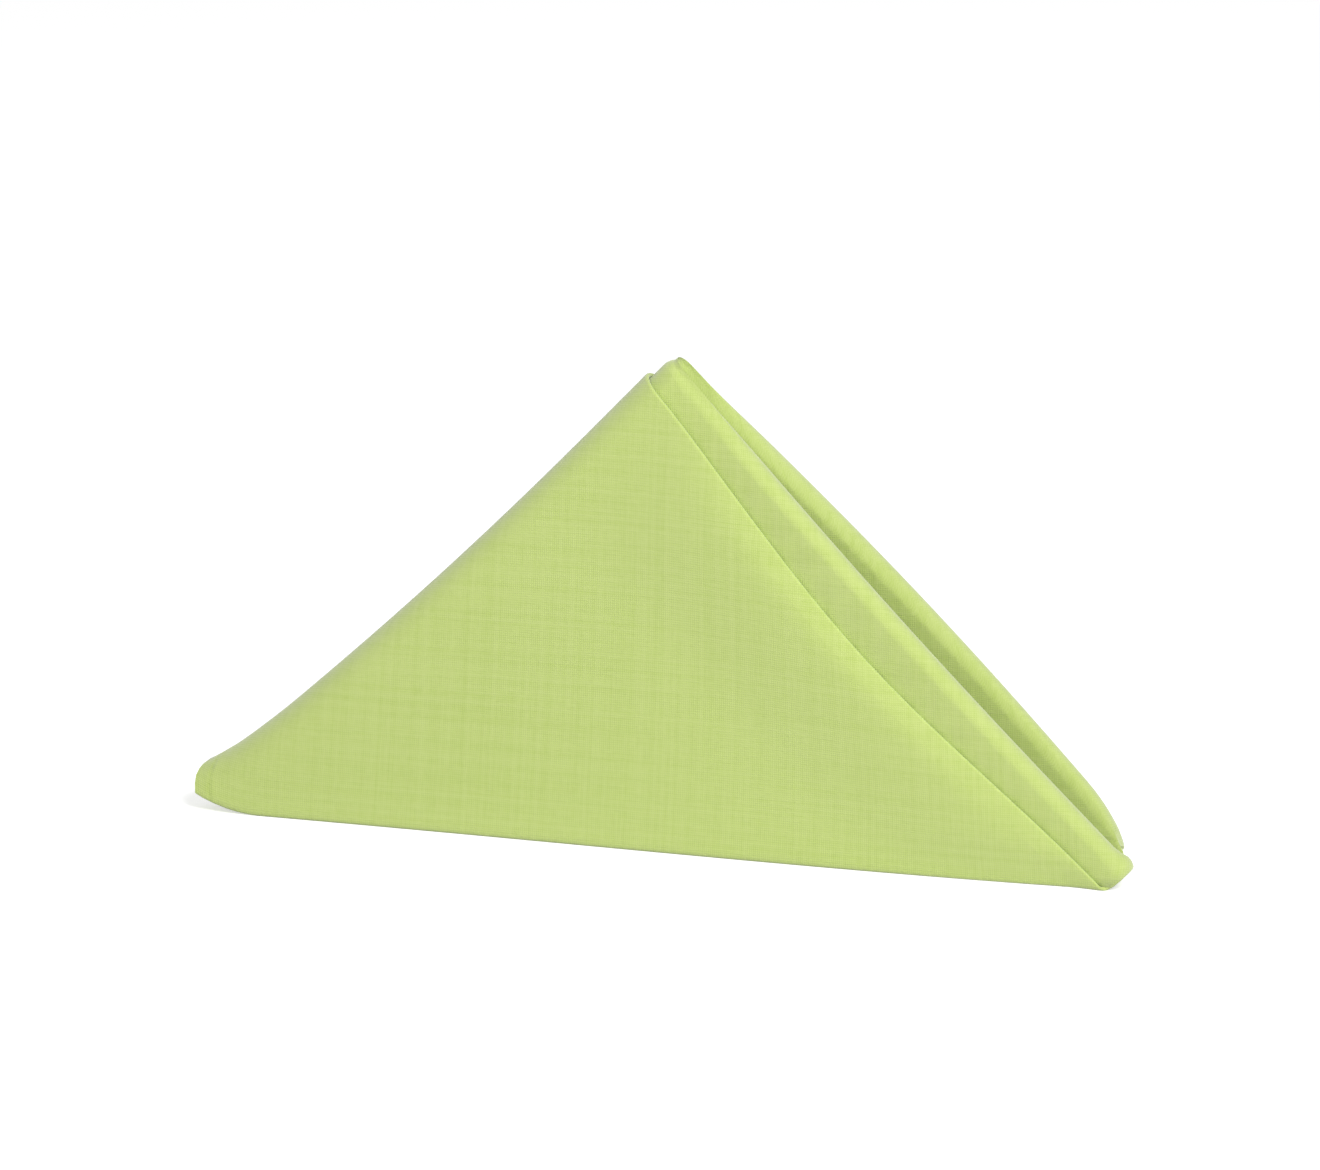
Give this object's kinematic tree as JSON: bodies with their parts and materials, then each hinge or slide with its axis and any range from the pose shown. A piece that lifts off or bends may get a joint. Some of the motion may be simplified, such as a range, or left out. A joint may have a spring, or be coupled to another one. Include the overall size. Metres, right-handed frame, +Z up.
{
  "type": "folded cloth napkin",
  "caption": "Square hemmed cloth napkin, folded into a standing triangle with soft rolled edges, as a place setting.",
  "frame": {"origin": "on the table, under the middle of the napkin", "axes": "+X along the long lower edge towards the nose with the open rolls, +Z up to the apex, the smooth front panel faces -Y"},
  "size_m": [0.2524, 0.0288, 0.1303],
  "materials": {
    "cloth": "matte"
  },
  "bodies": {
    "root": {"napkin": "cloth"}
  },
  "joints": []
}
